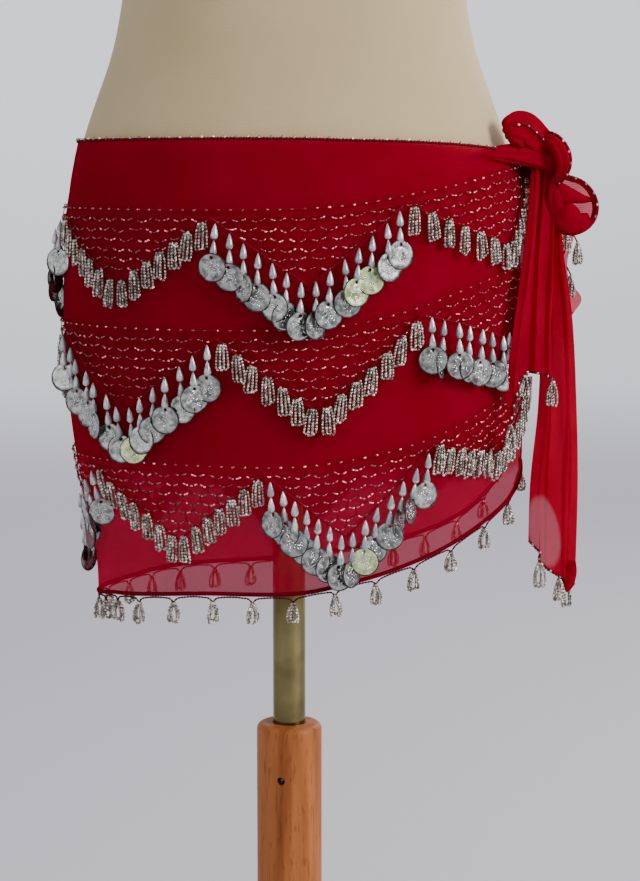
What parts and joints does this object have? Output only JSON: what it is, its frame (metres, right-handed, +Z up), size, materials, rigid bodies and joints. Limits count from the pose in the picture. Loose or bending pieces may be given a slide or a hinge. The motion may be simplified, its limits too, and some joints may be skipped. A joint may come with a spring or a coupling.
{
  "type": "hip scarf on a dress form",
  "caption": "Red belly dance hip scarf with crocheted net triangles, silver coins and bead loops, tied at the side on a limbless dress form with its stand.",
  "frame": {"origin": "on the floor, under the pole's axis", "axes": "+Z up, the front of the hips faces -Y, the knot is at +X"},
  "size_m": [0.3999, 0.36, 1.4763],
  "materials": {
    "chiffon": "sheer crinkled chiffon with a soft sheen",
    "crochet": "cotton crochet thread with small silver-lined beads",
    "coins": "thin stamped coins, slightly worn, under pearly teardrop beads",
    "beads": "silver-lined seed beads",
    "cotton": "stretched cotton jersey, matt",
    "beech": "turned beech with clear varnish",
    "brass": "yellow passivated tube, satin",
    "steel": "dark screw"
  },
  "bodies": {
    "root": {"back_flap": "chiffon", "back_flap_tassel_1": "beads", "back_flap_tassel_2": "beads", "base": "beech", "bow_loop": "chiffon", "cloth_wrap": "chiffon", "coin_fringe_1_2": "coins", "coin_fringe_1_4": "coins", "coin_fringe_1_6": "coins", "coin_fringe_2_1": "coins", "coin_fringe_2_3": "coins", "coin_fringe_2_5": "coins", "coin_fringe_3_2": "coins", "coin_fringe_3_4": "coins", "coin_fringe_3_6": "coins", "column": "beech", "form_neck_cap": "beech", "form_torso": "cotton", "front_flap": "chiffon", "front_flap_tassel_1": "beads", "front_flap_tassel_2": "beads", "front_flap_tassel_3": "beads", "hem_edging": "beads", "knot": "chiffon", "loop_fringe_1_1": "beads", "loop_fringe_1_3": "beads", "loop_fringe_1_5": "beads", "loop_fringe_2_2": "beads", "loop_fringe_2_4": "beads", "loop_fringe_2_6": "beads", "loop_fringe_3_1": "beads", "loop_fringe_3_3": "beads", "loop_fringe_3_5": "beads", "loop_fringe_3_7": "beads", "net_row_1": "crochet", "net_row_2": "crochet", "net_row_3": "crochet", "pole": "brass", "set_screw": "steel", "tail": "chiffon", "tail_tassel_1": "beads", "tail_tassel_2": "beads", "tail_tassel_3": "beads", "top_edging": "crochet"}
  },
  "joints": []
}
